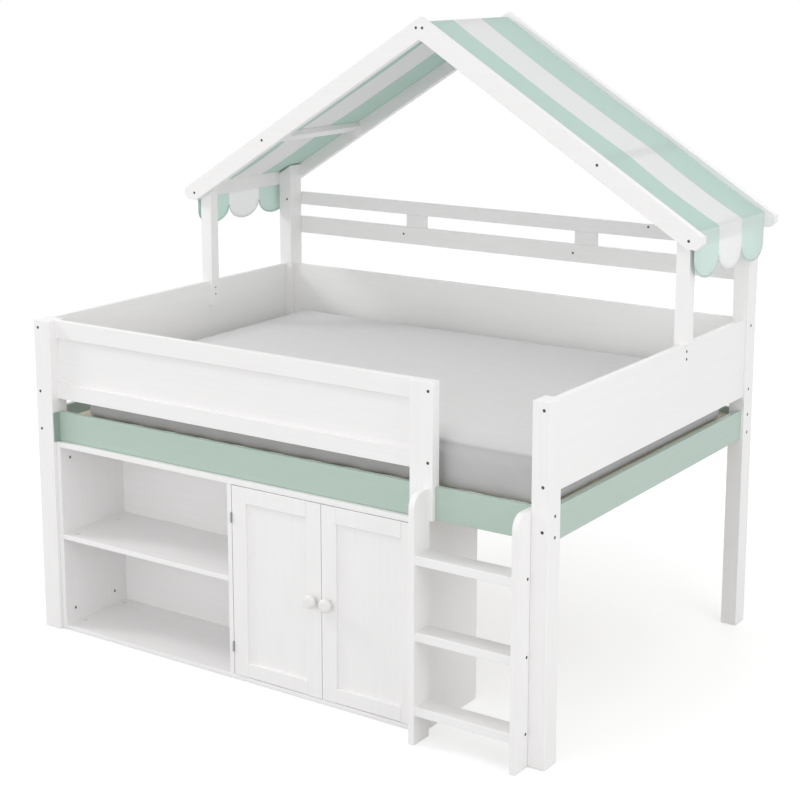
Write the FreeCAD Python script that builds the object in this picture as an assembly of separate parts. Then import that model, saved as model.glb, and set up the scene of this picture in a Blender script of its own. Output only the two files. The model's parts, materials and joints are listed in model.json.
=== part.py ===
import FreeCAD, Part
import math
import os

from FreeCAD import Vector

# A loft bed with a house roof over its rear half, a ladder and a cabinet under it.
# Millimetres. X runs along the bed, Y from front to back, Z up.

# Bed frame
bed_length = 2070.0
bed_width = 1470.0
post_width = 58.0
post_depth = 72.0
wide_post_width = 75.0
board_thickness = 20.0
rail_clearance = 1.0
rail_height = 105.0
rail_gap = 47.0
guard_height = 281.0
side_setback = 30.0
end_setback = 10.0
bracket_thickness = 4.0
bracket_inset = 3.0
edge_round = 2.0
round_wall_share = 0.2

# Slats and mattress
slat_count = 13
slat_width = 70.0
slat_thickness = 16.0
slat_drop = 24.0
slat_end_gap = 10.0
slat_play = 1.0
ledger_width = 25.0
ledger_height = 40.0
beam_width = 45.0
beam_height = 60.0
mattress_end_gap = 55.0
mattress_side_gap = 40.0
mattress_height = 176.0
mattress_crown = 12.0
mattress_corner = 60.0
mattress_draw = 8.0
mattress_play = 2.0
# Height, and how far the edge lies inside the full outline, up the mattress.
mattress_side_shares = ((0.0, 1.2), (0.05, 0.3), (0.12, 0.0), (0.3, 0.7), (0.5, 1.0), (0.7, 0.7),
                        (0.88, 0.0), (0.95, 0.3), (1.0, 1.2))
mattress_dome_shares = ((0.6, 6.0), (0.9, 20.0), (1.0, 40.0))

# Front guard
guard_stile_lap = 47.0
guard_top_height = 63.0
guard_bottom_height = 57.0
guard_panel_thickness = 8.0
guard_tongue = 8.0
guard_stile_width = 84.0
guard_stile_thickness = 18.0
guard_corner = 16.0

# Ladder
ladder_width = 380.0
ladder_gap = 7.0
ladder_projection = 73.0
ladder_top_drop = 2.0
ladder_round = 45.0
ladder_back_gap = 3.0
rung_depth = 74.0
rung_thickness = 30.0
rung_setback = 8.0
first_rung_height = 108.0
rung_spacing = 243.0

# Rear upper guard
rear_guard_thickness = 20.0
rear_guard_inset = 13.0
rear_low_gap = 123.0
rear_low_height = 68.0
rear_gap = 50.0
rear_top_height = 51.0
rear_block_width = 90.0
rear_block_shares = (-0.197, 0.169)

# Roof
roof_rise = 676.0
eave_gap = 73.0
eave_overhang = 55.0
rafter_width = 67.0
rafter_thickness = 30.0
rafter_tail = 44.0
rafter_chamfer = 20.0
roof_depth = 594.0
post_top_clearance = 7.7
leg_width = 48.0
leg_depth = 42.0
leg_tongue = 95.0
ridge_width = 44.0
ridge_height = 45.0
purlin_place = 705.0
purlin_width = 45.0
purlin_thickness = 22.0
eave_beam_width = 14.0
eave_beam_height = 45.0

# Canopy
canopy_thickness = 2.0
canopy_cover = 14.0
canopy_seat = 0.3
canopy_end_gap = 1.0
canopy_sag = 5.0
valance_drop = 156.0
valance_strip = 12.0
scallop_count = 3
scallop_drop = 60.0
scallop_bulge = 6.0

# Cabinet
cabinet_height = 696.0
cabinet_depth = 323.0
cabinet_setback = 12.0
cabinet_board = 18.0
base_thickness = 15.0
back_thickness = 8.0
bay_length = 761.0
shelf_bottom = 339.0
inner_shelf_setback = 6.0
shelf_pin_radius = 3.0
shelf_pin_reach = 8.0
shelf_pin_wall_share = 0.44
shelf_pin_shares = (0.27, 0.9)

# Cabinet doors
door_thickness = 18.0
door_end_gap = 2.0
door_meeting_gap = 2.0
door_stile = 58.0
door_top_rail = 55.0
door_bottom_rail = 50.0
door_panel_thickness = 6.0
door_panel_setback = 9.0
door_tongue = 8.0
knob_height = 350.0
knob_edge_inset = 30.0
knob_radius = 23.0
knob_neck_radius = 9.0
knob_foot_radius = 13.0
knob_foot_length = 5.0
knob_rim_length = 21.0
knob_length = 35.0
knob_face_radius = 10.0
knob_flare_share = 0.62
knob_crown_share = 0.72
full_turn = 360.0

# Door hinges
hinge_height = 34.0
hinge_low_inset = 98.0
hinge_high_inset = 111.0
hinge_leaf = 1.0
hinge_leaf_depth = 24.0
hinge_leaf_gap = 0.4
hinge_radius = 3.0
hinge_pin_radius = 1.5
hinge_pin_play = 0.05
hinge_gap = 0.3

# Bolts
bolt_radius = 3.0
bolt_clearance = 0.3
bolt_head_radius = 5.0
bolt_head_height = 5.0
bolt_socket_radius = 2.5
bolt_socket_depth = 3.0
bolt_grip = 40.0
screw_grip = 25.0
panel_bolt_inset = 26.0
bolt_stagger = 18.0
rail_bolt_inset = 20.0
end_rail_bolt_height = 42.0
stile_bolt_inset = 17.0
stile_bolt_drop = 29.0
rung_bolt_setback = 60.0
rung_grip_share = 0.12
apex_bolt_drop = 38.0
apex_bolt_reach = 13.0
ladder_bolt_shares = (0.35, 0.8)

# Planes shared by several pieces
x_right = bed_length / 2
x_left = -x_right
y_rear = bed_width / 2
y_front = -y_rear
x_bay_left = x_left + wide_post_width
x_post_right = x_right - post_width
rail_bottom = cabinet_height + rail_clearance
rail_top = rail_bottom + rail_height
panel_bottom = rail_top + rail_gap
frame_top = panel_bottom + guard_height
y_rail_front = y_front + side_setback
y_rail_back = y_rail_front + board_thickness
x_end_outer = x_right - end_setback
x_end_inner = x_end_outer - board_thickness
y_inner = y_rear - post_depth
slat_top = rail_top - slat_drop
slat_bottom = slat_top - slat_thickness
y_face = y_front + cabinet_setback
x_ladder = x_post_right - ladder_width
x_cabinet_end = x_ladder - ladder_gap
x_guard_end = x_cabinet_end - guard_stile_lap
x_guard_right = x_guard_end + guard_stile_width
y_ladder = y_front - ladder_projection
ladder_top = rail_top - ladder_top_drop
rear_low_bottom = frame_top + rear_low_gap
rear_top_bottom = rear_low_bottom + rear_low_height + rear_gap
eave_height = rear_top_bottom + rear_top_height + eave_gap
roof_apex = eave_height + roof_rise
rafter_reach = x_right + eave_overhang
roof_slope = roof_rise / rafter_reach
slope_cos = 1 / math.sqrt(1 + roof_slope * roof_slope)
slope_sin = roof_slope * slope_cos
y_gable = y_rear - roof_depth
y_roof = y_gable + rafter_thickness
x_eave = x_right + eave_beam_width
support_depth = canopy_cover + canopy_thickness + canopy_seat
post_top_gap = support_depth + post_top_clearance
door_side_gap = 2 * hinge_leaf + hinge_leaf_gap

pieces = {}
groups = {}


def roof_line(x, depth):
    """Height at x of a plane that lies so far under the rafters' top edges."""
    return roof_apex - roof_slope * abs(x) - depth / slope_cos


def eased(solid, long_only):
    """Rounds the long edges of a board, or all of them, by a radius its walls can take."""
    longest = max(edge.Length for edge in solid.Edges)
    shortest = min(edge.Length for edge in solid.Edges)
    radius = min(edge_round, shortest * round_wall_share)
    edges = solid.Edges
    if long_only:
        edges = [edge for edge in edges if edge.Length > longest / 2]
    return solid.makeFillet(radius, edges)


def block(x_span, y_span, z_span):
    """A square-edged box between two values on each axis."""
    sizes = [span[1] - span[0] for span in (x_span, y_span, z_span)]
    return Part.makeBox(*sizes, Vector(x_span[0], y_span[0], z_span[0]))


def board(x_span, y_span, z_span, long_only=True):
    """A box with eased edges."""
    return eased(block(x_span, y_span, z_span), long_only)


def slab(outline, y_span):
    """A piece with an outline in X and Z that is as thick as its Y span."""
    points = [Vector(x, y_span[0], z) for x, z in outline]
    face = Part.Face(Part.makePolygon(points + points[:1]))
    return face.extrude(Vector(0, y_span[1] - y_span[0], 0))


def is_at(edge, x, y, z):
    """True for an edge whose ends all have the given values on the axes that are stated."""
    wanted = (x, y, z)
    for vertex in edge.Vertexes:
        for value, stated in zip(vertex.Point, wanted):
            if stated is not None and abs(value - stated) > edge_round * round_wall_share:
                return False
    return True


def mirrored(solid):
    """The same piece on the other side of the bed's middle."""
    return solid.mirror(Vector(0, 0, 0), Vector(1, 0, 0))


def pair(left_name, right_name, solid):
    """Adds a right-hand piece and its mirror image."""
    pieces[right_name] = solid
    pieces[left_name] = mirrored(solid)


def bolt(group, head_at, direction, length, names):
    """Adds a flush socket bolt to a group and drills the pieces it holds."""
    along = Vector(*direction)
    shank = Part.makeCylinder(bolt_radius, length, head_at, along)
    head = Part.makeCylinder(bolt_head_radius, bolt_head_height, head_at, along)
    socket = Part.makeCylinder(bolt_socket_radius, bolt_socket_depth, head_at, along)
    groups.setdefault(group, []).append(head.fuse(shank).cut(socket))
    hole = Part.makeCylinder(bolt_radius + bolt_clearance, length + bolt_clearance, head_at, along)
    seat = Part.makeCylinder(bolt_head_radius + bolt_clearance, bolt_head_height, head_at, along)
    drill = hole.fuse(seat)
    for name in names:
        pieces[name] = pieces[name].cut(drill)


def build_posts():
    """Four posts. The rear two run up to the roof and end on its slope."""
    front = (y_front, y_front + post_depth)
    height = (0, frame_top)
    pieces["front_left_post"] = board((x_left, x_bay_left), front, height, False)
    pieces["front_right_post"] = board((x_post_right, x_right), front, height, False)
    outline = [(x_post_right, 0), (x_right, 0), (x_right, roof_line(x_right, post_top_gap)),
               (x_post_right, roof_line(x_post_right, post_top_gap))]
    rear = eased(slab(outline, (y_inner, y_rear)), True)
    pair("rear_left_post", "rear_right_post", rear)


def build_sides():
    """Panels and rails between the posts, and the steel plate that hangs the front rail."""
    ends = (-y_inner, y_inner)
    panel_z = (panel_bottom, frame_top)
    rail_z = (rail_bottom, rail_top)
    x_end = (x_end_inner, x_end_outer)
    pair("left_end_panel", "right_end_panel", board(x_end, ends, panel_z))
    pair("left_end_rail", "right_end_rail", board(x_end, ends, rail_z))
    rear = (-y_rail_back, -y_rail_front)
    pieces["rear_panel"] = board((-x_post_right, x_post_right), rear, panel_z)
    pieces["rear_side_rail"] = board((-x_post_right, x_post_right), rear, rail_z)
    x_plate = x_bay_left + bracket_thickness
    plate = block((x_bay_left, x_plate), (y_front + bracket_inset, y_rail_back), rail_z)
    pieces["front_rail_plate"] = plate
    front = (y_rail_front, y_rail_back)
    pieces["front_side_rail"] = board((x_plate, x_post_right), front, rail_z)


def build_slats():
    """Ledgers on the side rails, a beam along the middle and the slats that lie on them."""
    z_ledger = (slat_bottom - ledger_height, slat_bottom)
    front = board((x_bay_left, x_post_right), (y_rail_back, y_rail_back + ledger_width), z_ledger)
    rear = board((-x_post_right, x_post_right), (-y_rail_back - ledger_width, -y_rail_back), z_ledger)
    pieces["slat_ledgers"] = Part.makeCompound([front, rear])
    half = beam_width / 2
    z_beam = (slat_bottom - beam_height, slat_bottom)
    pieces["centre_beam"] = board((-x_end_inner, x_end_inner), (-half, half), z_beam)
    first = x_bay_left + slat_end_gap
    pitch = (x_post_right - slat_end_gap - slat_width - first) / (slat_count - 1)
    reach = -y_rail_back - slat_play
    slats = []
    for index in range(slat_count):
        start = first + index * pitch
        slats.append(board((start, start + slat_width), (-reach, reach), (slat_bottom, slat_top)))
    pieces["bed_slats"] = Part.makeCompound(slats)


def rounded_wire(x_span, y_span, z, radius):
    """A level rectangle with round corners."""
    corner_signs = ((1, 1), (-1, 1), (-1, -1), (1, -1))
    edges = []
    ends = []
    for x_sign, y_sign in corner_signs:
        x = x_span[1] if x_sign > 0 else x_span[0]
        y = y_span[1] if y_sign > 0 else y_span[0]
        centre = Vector(x - x_sign * radius, y - y_sign * radius, z)
        to_x = centre + Vector(x_sign * radius, 0, 0)
        to_y = centre + Vector(0, y_sign * radius, 0)
        middle = centre + Vector(x_sign, y_sign, 0).normalize() * radius
        start, end = (to_x, to_y) if x_sign == y_sign else (to_y, to_x)
        edges.append(Part.Arc(start, middle, end).toShape())
        ends.append((start, end))
    loop = []
    for index, edge in enumerate(edges):
        after = ends[(index + 1) % len(ends)][0]
        loop += [edge, Part.makeLine(ends[index][1], after)]
    return Part.Wire(loop)


def build_mattress():
    """A foam mattress with sides drawn in between its seams and a low crown."""
    x_end = x_post_right - mattress_play
    x_start = x_bay_left + mattress_end_gap
    half = -y_rail_back - mattress_side_gap
    rings = [(height * mattress_height, inset * mattress_draw) for height, inset in mattress_side_shares]
    for height, inset in mattress_dome_shares:
        rings.append((mattress_height + height * mattress_crown, inset * mattress_draw))
    wires = []
    for height, inset in rings:
        x_span = (x_start + inset, x_end - inset)
        wires.append(rounded_wire(x_span, (inset - half, half - inset), slat_top + height, mattress_corner))
    pieces["mattress"] = Part.makeLoft(wires, True, True)


def build_guard():
    """The front guard: two rails with a sunk panel, and a stile lapped over the side rail."""
    front = (y_rail_front, y_rail_back)
    top = (frame_top - guard_top_height, frame_top)
    low = (panel_bottom, panel_bottom + guard_bottom_height)
    x_rails = (x_bay_left, x_guard_end)
    panel = block(x_rails, (y_rail_back - guard_panel_thickness, y_rail_back),
                  (low[1] - guard_tongue, top[0] + guard_tongue))
    pieces["guard_top_rail"] = board(x_rails, front, top).cut(panel)
    pieces["guard_bottom_rail"] = board(x_rails, front, low).cut(panel)
    pieces["guard_panel"] = panel
    x_stile = (x_guard_end, x_guard_right)
    pieces["guard_batten"] = board(x_stile, front, (rail_top, frame_top))
    stile = block(x_stile, (y_rail_front - guard_stile_thickness, y_rail_front), (rail_bottom, frame_top))
    corner = [edge for edge in stile.Edges if is_at(edge, x_guard_right, None, frame_top)]
    pieces["guard_stile"] = eased(stile.makeFillet(guard_corner, corner), True)


def ladder_stile(x_start, y_back):
    """A ladder side with its top front corner rounded."""
    solid = block((x_start, x_start + board_thickness), (y_ladder, y_back), (0, ladder_top))
    corner = [edge for edge in solid.Edges if is_at(edge, None, y_ladder, ladder_top)]
    return solid.makeFillet(ladder_round, corner)


def build_ladder():
    """Two sides and three treads. The left side stands against the guard's stile."""
    x_in_left = x_ladder + board_thickness
    x_in_right = x_post_right - board_thickness
    y_stile = y_rail_front - guard_stile_thickness
    y_back = y_rail_front - ladder_back_gap
    pieces["ladder_left_stile"] = ladder_stile(x_ladder, y_stile)
    pieces["ladder_right_stile"] = ladder_stile(x_in_right, y_back)
    y_rung = y_ladder + rung_setback
    half = rung_thickness / 2
    for index, name in enumerate(("lower_rung", "middle_rung", "upper_rung")):
        middle = first_rung_height + index * rung_spacing
        z_span = (middle - half, middle + half)
        pieces[name] = board((x_in_left, x_in_right), (y_rung, y_rung + rung_depth), z_span)
        y_bolt = y_ladder + rung_bolt_setback
        left_head = Vector(x_ladder, y_bolt, middle)
        right_head = Vector(x_post_right, y_bolt, middle)
        length = board_thickness + rung_grip_share * (x_in_right - x_in_left)
        bolt("ladder_bolts", left_head, (1, 0, 0), length, ("ladder_left_stile", name))
        bolt("ladder_bolts", right_head, (-1, 0, 0), length, ("ladder_right_stile", name))
    for share in ladder_bolt_shares:
        head = Vector(x_in_right, (y_front + y_back) / 2, ladder_top * share)
        bolt("ladder_bolts", head, (1, 0, 0), board_thickness + screw_grip,
             ("ladder_right_stile", "front_right_post"))


def build_rear_guard():
    """Two rails on the backs of the rear posts, with two blocks between them."""
    thick = (y_rear, y_rear + rear_guard_thickness)
    low = (rear_low_bottom, rear_low_bottom + rear_low_height)
    top = (rear_top_bottom, rear_top_bottom + rear_top_height)
    x_rails = (x_left + rear_guard_inset, x_right - rear_guard_inset)
    pieces["rear_low_guard_rail"] = board(x_rails, thick, low)
    pieces["rear_top_guard_rail"] = board(x_rails, thick, top)
    blocks = []
    for share in rear_block_shares:
        start = share * bed_length - rear_block_width / 2
        blocks.append(board((start, start + rear_block_width), thick, (low[1], top[0])))
    pieces["rear_guard_blocks"] = Part.makeCompound(blocks)
    middles = ((low, "rear_low_guard_rail"), (top, "rear_top_guard_rail"))
    for z_span, name in middles:
        for side, post in ((1, "rear_right_post"), (-1, "rear_left_post")):
            x = side * (x_right - post_width / 2)
            head = Vector(x, thick[1], (z_span[0] + z_span[1]) / 2)
            bolt("roof_bolts", head, (0, -1, 0), rear_guard_thickness + bolt_grip, (name, post))


def build_rafters():
    """Two gables of two rafters each, cut plumb at the ridge, level and chamfered at the eaves."""
    under = rafter_width / slope_cos
    seat = eave_height - rafter_tail
    x_seat = (roof_apex - under - seat) / roof_slope
    outline = [(0, roof_apex), (rafter_reach, eave_height), (rafter_reach, seat + rafter_chamfer),
               (rafter_reach - rafter_chamfer, seat), (x_seat, seat), (0, roof_apex - under)]
    front = eased(slab(outline, (y_gable, y_roof)), True)
    rear = eased(slab(outline, (y_rear, y_rear + rafter_thickness)), True)
    pair("front_left_rafter", "front_right_rafter", front)
    pair("rear_left_rafter", "rear_right_rafter", rear)


def build_roof_frame():
    """Front legs that stand on the end panels, and the beams between the gables."""
    y_leg = (y_roof, y_roof + leg_depth)
    x_leg = x_right - leg_width
    low = frame_top - leg_tongue
    outline = [(x_right, frame_top), (x_right, roof_line(x_right, post_top_gap)),
               (x_leg, roof_line(x_leg, post_top_gap)), (x_leg, low), (x_end_inner, low),
               (x_end_inner, frame_top)]
    pair("left_roof_leg", "right_roof_leg", slab(outline, y_leg))
    y_span = (y_roof, y_rear)
    half = ridge_width / 2
    shoulder = roof_line(half, support_depth)
    foot = shoulder - ridge_height
    peak = roof_line(0, support_depth)
    ridge = [(0, peak), (half, shoulder), (half, foot), (-half, foot), (-half, shoulder)]
    pieces["ridge_beam"] = slab(ridge, y_span)
    reach = purlin_width / 2 * slope_cos
    drop = purlin_thickness
    inner = (purlin_place - reach, roof_line(purlin_place - reach, support_depth))
    outer = (purlin_place + reach, roof_line(purlin_place + reach, support_depth))
    shift = (-drop * slope_sin, -drop * slope_cos)
    low_outer = (outer[0] + shift[0], outer[1] + shift[1])
    low_inner = (inner[0] + shift[0], inner[1] + shift[1])
    purlin = eased(slab([inner, outer, low_outer, low_inner], y_span), True)
    pieces["roof_purlins"] = Part.makeCompound([purlin, mirrored(purlin)])
    top = (roof_line(x_right, support_depth), roof_line(x_eave, support_depth))
    foot = top[1] - eave_beam_height
    eave = slab([(x_right, top[0]), (x_eave, top[1]), (x_eave, foot), (x_right, foot)], y_span)
    pieces["eave_beams"] = Part.makeCompound([eave, mirrored(eave)])


def canopy_edge(depth, x_end):
    """The right half of the cloth's section at one depth: straight on its supports, slack between."""
    bearing = purlin_width / 2
    stops = [0, ridge_width / 2, purlin_place - bearing, purlin_place + bearing, x_right, x_end]
    edges = []
    for index, (start, end) in enumerate(zip(stops, stops[1:])):
        first = Vector(start, 0, roof_line(start, depth))
        last = Vector(end, 0, roof_line(end, depth))
        middle = (first + last) / 2 - Vector(slope_sin, 0, slope_cos) * canopy_sag
        slack = index % 2 == 1
        edge = Part.Arc(first, middle, last).toShape() if slack else Part.makeLine(first, last)
        edges.append(edge)
    return edges


def canopy_slope(x_end, y_span):
    """The right slope of the cloth as a closed solid."""
    upper = canopy_edge(canopy_cover, x_end)
    lower = canopy_edge(canopy_cover + canopy_thickness, x_end)
    ends = []
    for x in (0, x_end):
        high = Vector(x, 0, roof_line(x, canopy_cover))
        ends.append(Part.makeLine(high, Vector(x, 0, roof_line(x, canopy_cover + canopy_thickness))))
    face = Part.Face(Part.Wire(Part.__sortEdges__(upper + lower + ends)))
    face.translate(Vector(0, y_span[0], 0))
    return face.extrude(Vector(0, y_span[1] - y_span[0], 0))


def valance_ring(x_span, stops, z, bulge):
    """A level outline of the valance whose scallops belly out by so much."""
    edges = []
    for x in x_span:
        for start, end in zip(stops, stops[1:]):
            first = Vector(x, start, z)
            last = Vector(x, end, z)
            middle = (first + last) / 2 + Vector(bulge, 0, 0)
            edges.append(Part.Arc(first, middle, last).toShape() if bulge else Part.makeLine(first, last))
    for y in (stops[0], stops[-1]):
        edges.append(Part.makeLine(Vector(x_span[0], y, z), Vector(x_span[1], y, z)))
    return Part.Wire(Part.__sortEdges__(edges))


def scallop_cutter(stops, x_span, z_top, z_valley, z_low):
    """A block that keeps the valance above its scalloped hem."""
    edges = [Part.makeLine(Vector(x_span[0], stops[-1], z_valley), Vector(x_span[0], stops[-1], z_top)),
             Part.makeLine(Vector(x_span[0], stops[-1], z_top), Vector(x_span[0], stops[0], z_top)),
             Part.makeLine(Vector(x_span[0], stops[0], z_top), Vector(x_span[0], stops[0], z_valley))]
    for start, end in zip(stops, stops[1:]):
        middle = Vector(x_span[0], (start + end) / 2, z_low)
        first = Vector(x_span[0], start, z_valley)
        edges.append(Part.Arc(first, middle, Vector(x_span[0], end, z_valley)).toShape())
    face = Part.Face(Part.Wire(Part.__sortEdges__(edges)))
    return face.extrude(Vector(x_span[1] - x_span[0], 0, 0))


def build_canopy():
    """One cloth over the ridge and both slopes, with a scalloped valance at each eave."""
    y_span = (y_roof + canopy_end_gap, y_rear - canopy_end_gap)
    x_in = x_eave + canopy_seat
    x_out = x_in + canopy_thickness
    slope = canopy_slope(x_out, y_span)
    z_fold = roof_line(x_out, canopy_cover + canopy_thickness)
    z_strip = z_fold - valance_strip
    z_low = z_fold - valance_drop
    width = (y_span[1] - y_span[0]) / scallop_count
    stops = [y_span[0] + index * width for index in range(scallop_count + 1)]
    strip = block((x_in, x_out), y_span, (z_strip, z_fold))
    z_under = roof_line(x_in, canopy_cover + canopy_thickness)
    fill = slab([(x_in, z_fold), (x_out, z_fold), (x_in, z_under)], y_span)
    top_ring = valance_ring((x_in, x_out), stops, z_strip, 0)
    low_ring = valance_ring((x_in, x_out), stops, z_low, scallop_bulge)
    skirt = Part.makeLoft([top_ring, low_ring], True, True)
    reach = (x_in - scallop_bulge, x_out + 2 * scallop_bulge)
    skirt = skirt.common(scallop_cutter(stops, reach, z_strip, z_low + scallop_drop, z_low))
    half = slope.multiFuse([fill, strip, skirt])
    pieces["roof_canopy"] = half.fuse(mirrored(half)).removeSplitter()


def build_cabinet():
    """A cabinet under the bed with an open bay at the left and two doors at the right."""
    depth = (y_face, y_face + cabinet_depth)
    y_back = depth[1] - back_thickness
    inside = (x_bay_left + cabinet_board, x_cabinet_end - cabinet_board)
    x_divider = inside[0] + bay_length
    z_top = cabinet_height - cabinet_board
    between = (base_thickness, z_top)
    pieces["cabinet_left_side"] = board((x_bay_left, inside[0]), depth, (0, cabinet_height))
    pieces["cabinet_right_side"] = board((inside[1], x_cabinet_end), depth, (0, cabinet_height))
    pieces["cabinet_base"] = board(inside, depth, (0, base_thickness))
    pieces["cabinet_top"] = board(inside, depth, (z_top, cabinet_height))
    pieces["cabinet_back"] = block(inside, (y_back, depth[1]), between)
    front = (y_face, y_back)
    pieces["cabinet_divider"] = board((x_divider, x_divider + cabinet_board), front, between)
    shelf = (shelf_bottom, shelf_bottom + cabinet_board)
    pieces["open_shelf"] = board((inside[0], x_divider), front, shelf)
    y_inner_shelf = y_face + door_thickness + inner_shelf_setback
    x_doors = (x_divider + cabinet_board, inside[1])
    pieces["inner_shelf"] = board(x_doors, (y_inner_shelf, y_back), shelf)
    build_shelf_pins(((inside[0], 1), (x_divider, -1), (x_doors[0], 1), (x_doors[1], -1)), y_back)
    build_doors(x_doors, between)


def build_shelf_pins(walls, y_back):
    """Round pins in the cabinet's walls that carry the shelves."""
    holders = ("cabinet_left_side", "cabinet_divider", "cabinet_divider", "cabinet_right_side")
    depth = cabinet_board * shelf_pin_wall_share
    pins = []
    for (x, side), holder in zip(walls, holders):
        for share in shelf_pin_shares:
            y = y_face + (y_back - y_face) * share
            start = Vector(x - side * depth, y, shelf_bottom - shelf_pin_radius)
            along = Vector(side, 0, 0)
            pins.append(Part.makeCylinder(shelf_pin_radius, depth + shelf_pin_reach, start, along))
            hole = Part.makeCylinder(shelf_pin_radius + bolt_clearance, depth, start, along)
            pieces[holder] = pieces[holder].cut(hole)
    pieces["shelf_pins"] = Part.makeCompound(pins)


def knob_solid(x):
    """A turned knob on the face of a door."""
    neck = Vector(knob_neck_radius, -knob_rim_length / 2, 0)
    rim = Vector(knob_radius, -knob_rim_length, 0)
    flat = Vector(knob_face_radius, -knob_length, 0)
    corners = [Vector(0, 0, 0), Vector(knob_foot_radius, 0, 0),
               Vector(knob_foot_radius, -knob_foot_length, 0),
               Vector(knob_neck_radius, -knob_foot_length, 0), neck]
    edges = [Part.makeLine(first, last) for first, last in zip(corners, corners[1:])]
    flare = knob_neck_radius + (knob_radius - knob_neck_radius) * knob_flare_share
    edges.append(Part.Arc(neck, Vector(flare, (neck.y + rim.y) / 2, 0), rim).toShape())
    bulge = knob_face_radius + (knob_radius - knob_face_radius) * knob_crown_share
    rise = -knob_rim_length - (knob_length - knob_rim_length) * knob_crown_share
    edges.append(Part.Arc(rim, Vector(bulge, rise, 0), flat).toShape())
    tip = Vector(0, -knob_length, 0)
    edges += [Part.makeLine(flat, tip), Part.makeLine(tip, corners[0])]
    solid = Part.Face(Part.Wire(edges)).revolve(Vector(0, 0, 0), Vector(0, 1, 0), full_turn)
    solid.translate(Vector(x, y_face, knob_height))
    return solid


def hinge_solids(x_wall, z_middle):
    """A butt hinge on a wall at its left: the fixed leaf, its pin and the moving leaf."""
    x_axis = x_wall + door_side_gap / 2
    y_axis = y_face - hinge_radius - hinge_gap
    low = z_middle - hinge_height / 2
    third = hinge_height / 3
    x_door = x_wall + door_side_gap
    y_leaf = (y_axis, y_axis + hinge_leaf_depth)
    z_leaf = (low, low + hinge_height)
    fixed = block((x_wall, x_wall + hinge_leaf), y_leaf, z_leaf)
    moving = block((x_door - hinge_leaf, x_door), y_leaf, z_leaf)

    def barrel(radius, start, length):
        return Part.makeCylinder(radius, length, Vector(x_axis, y_axis, start))

    knuckle = barrel(hinge_radius, low + third + hinge_gap, third - 2 * hinge_gap)
    room = barrel(hinge_radius + hinge_gap, low + third, third)
    fixed = fixed.cut(room)
    for start in (low, low + 2 * third):
        moving = moving.cut(barrel(hinge_radius + hinge_gap, start, third + hinge_gap))
        moving = moving.cut(barrel(hinge_radius + hinge_gap, start - hinge_gap, third + hinge_gap))
        fixed = fixed.fuse(barrel(hinge_radius, start, third))
    bore = barrel(hinge_pin_radius + hinge_pin_play, low, hinge_height)
    moving = moving.fuse(knuckle).cut(bore)
    fixed = fixed.fuse(barrel(hinge_pin_radius, low, hinge_height))
    return fixed, moving


def door_pieces(x_span, z_span):
    """The frame and the panel of a door."""
    thick = (y_face, y_face + door_thickness)
    inner_x = (x_span[0] + door_stile, x_span[1] - door_stile)
    inner_z = (z_span[0] + door_bottom_rail, z_span[1] - door_top_rail)
    panel = block((inner_x[0] - door_tongue, inner_x[1] + door_tongue),
                  (y_face + door_panel_setback, y_face + door_panel_setback + door_panel_thickness),
                  (inner_z[0] - door_tongue, inner_z[1] + door_tongue))
    frame = [board((x_span[0], inner_x[0]), thick, z_span), board((inner_x[1], x_span[1]), thick, z_span),
             board(inner_x, thick, (z_span[0], inner_z[0])), board(inner_x, thick, (inner_z[1], z_span[1]))]
    return [member.cut(panel) for member in frame], panel


def build_doors(x_span, between):
    """Two inset doors, each on two butt hinges and with a knob near the other's."""
    middle = (x_span[0] + x_span[1]) / 2
    x_left_door = (x_span[0] + door_side_gap, middle - door_meeting_gap / 2)
    z_door = (between[0] + door_end_gap, between[1] - door_end_gap)
    frame, panel = door_pieces(x_left_door, z_door)
    knob = knob_solid(x_left_door[1] - knob_edge_inset)
    heights = (z_door[0] + hinge_low_inset, z_door[1] - hinge_high_inset)
    hinges = [hinge_solids(x_span[0], height) for height in heights]
    leaves = Part.makeCompound([moving for fixed, moving in hinges])
    fixed = [fixed for fixed, moving in hinges]
    frame = Part.makeCompound(frame)
    centre = Vector(middle, 0, 0)
    along = Vector(1, 0, 0)
    for name, solid in (("frame", frame), ("panel", panel), ("knob", knob), ("hinge_leaves", leaves)):
        pieces["left_door_" + name] = solid
        pieces["right_door_" + name] = solid.mirror(centre, along)
    pieces["door_hinges"] = Part.makeCompound(fixed + [leaf.mirror(centre, along) for leaf in fixed])


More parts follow.
